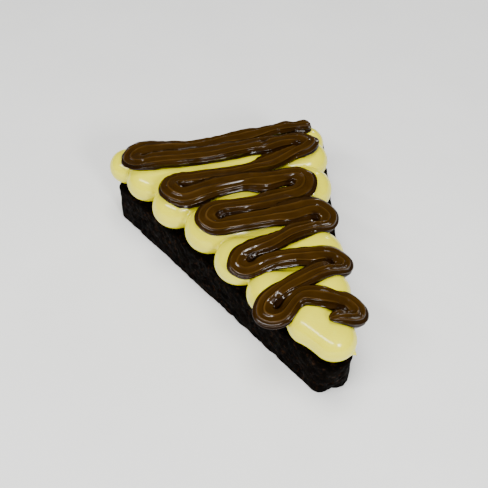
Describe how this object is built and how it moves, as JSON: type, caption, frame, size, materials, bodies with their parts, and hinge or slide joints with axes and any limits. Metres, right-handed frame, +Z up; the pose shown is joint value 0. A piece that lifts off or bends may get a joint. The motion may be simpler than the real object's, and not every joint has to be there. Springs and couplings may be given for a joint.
{
  "type": "brownie slice",
  "caption": "Wedge slice of dark brownie topped with piped rows of yellow cream and a ridged chocolate ribbon piped to and fro.",
  "frame": {"origin": "on the flat underside of the brownie, on the slice's long axis, halfway between its tip and the top of its arc", "axes": "+Z up out of the cream, -Y towards the tip, +Y towards the round back, +X to the right of someone who faces the tip's cut sides from the front"},
  "size_m": [0.0888, 0.1173, 0.0355],
  "materials": {
    "brownie_crumb": "matte",
    "piped_cream": "satin",
    "chocolate": "glossy"
  },
  "bodies": {
    "root": {"brownie": "brownie_crumb", "cream": "piped_cream", "chocolate_ribbon": "chocolate"}
  },
  "joints": []
}
